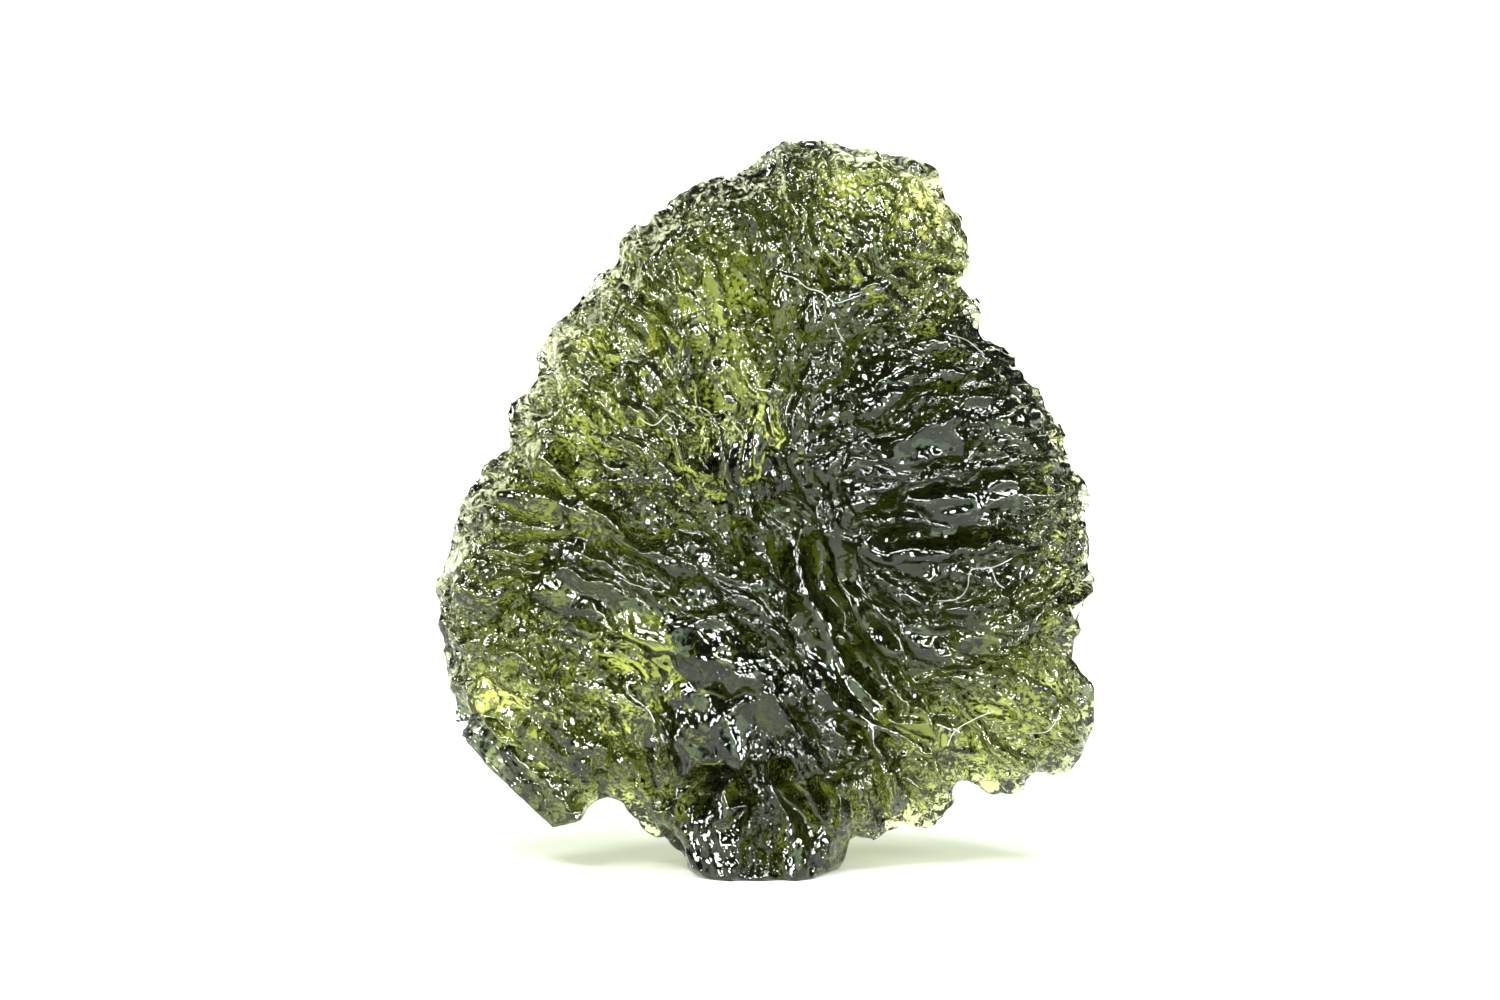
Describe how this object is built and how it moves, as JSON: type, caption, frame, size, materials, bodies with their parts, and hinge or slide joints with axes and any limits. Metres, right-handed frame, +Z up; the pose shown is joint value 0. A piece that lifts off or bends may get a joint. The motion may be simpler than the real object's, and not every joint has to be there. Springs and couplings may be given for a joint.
{
  "type": "moldavite",
  "caption": "Upright flake of natural green glass with a jagged outline and a grooved, pitted skin, standing on a small flat foot.",
  "frame": {"origin": "centre of the small flat spot that the stone stands on", "axes": "+Z up through the stone, +Y towards its back; the face shown in the picture looks towards -Y, and +X is to that face's right"},
  "size_m": [0.0181, 0.0073, 0.02],
  "materials": {
    "moldavite_glass": "glossy natural green glass with an etched, grooved skin"
  },
  "bodies": {
    "root": {"moldavite": "moldavite_glass"}
  },
  "joints": []
}
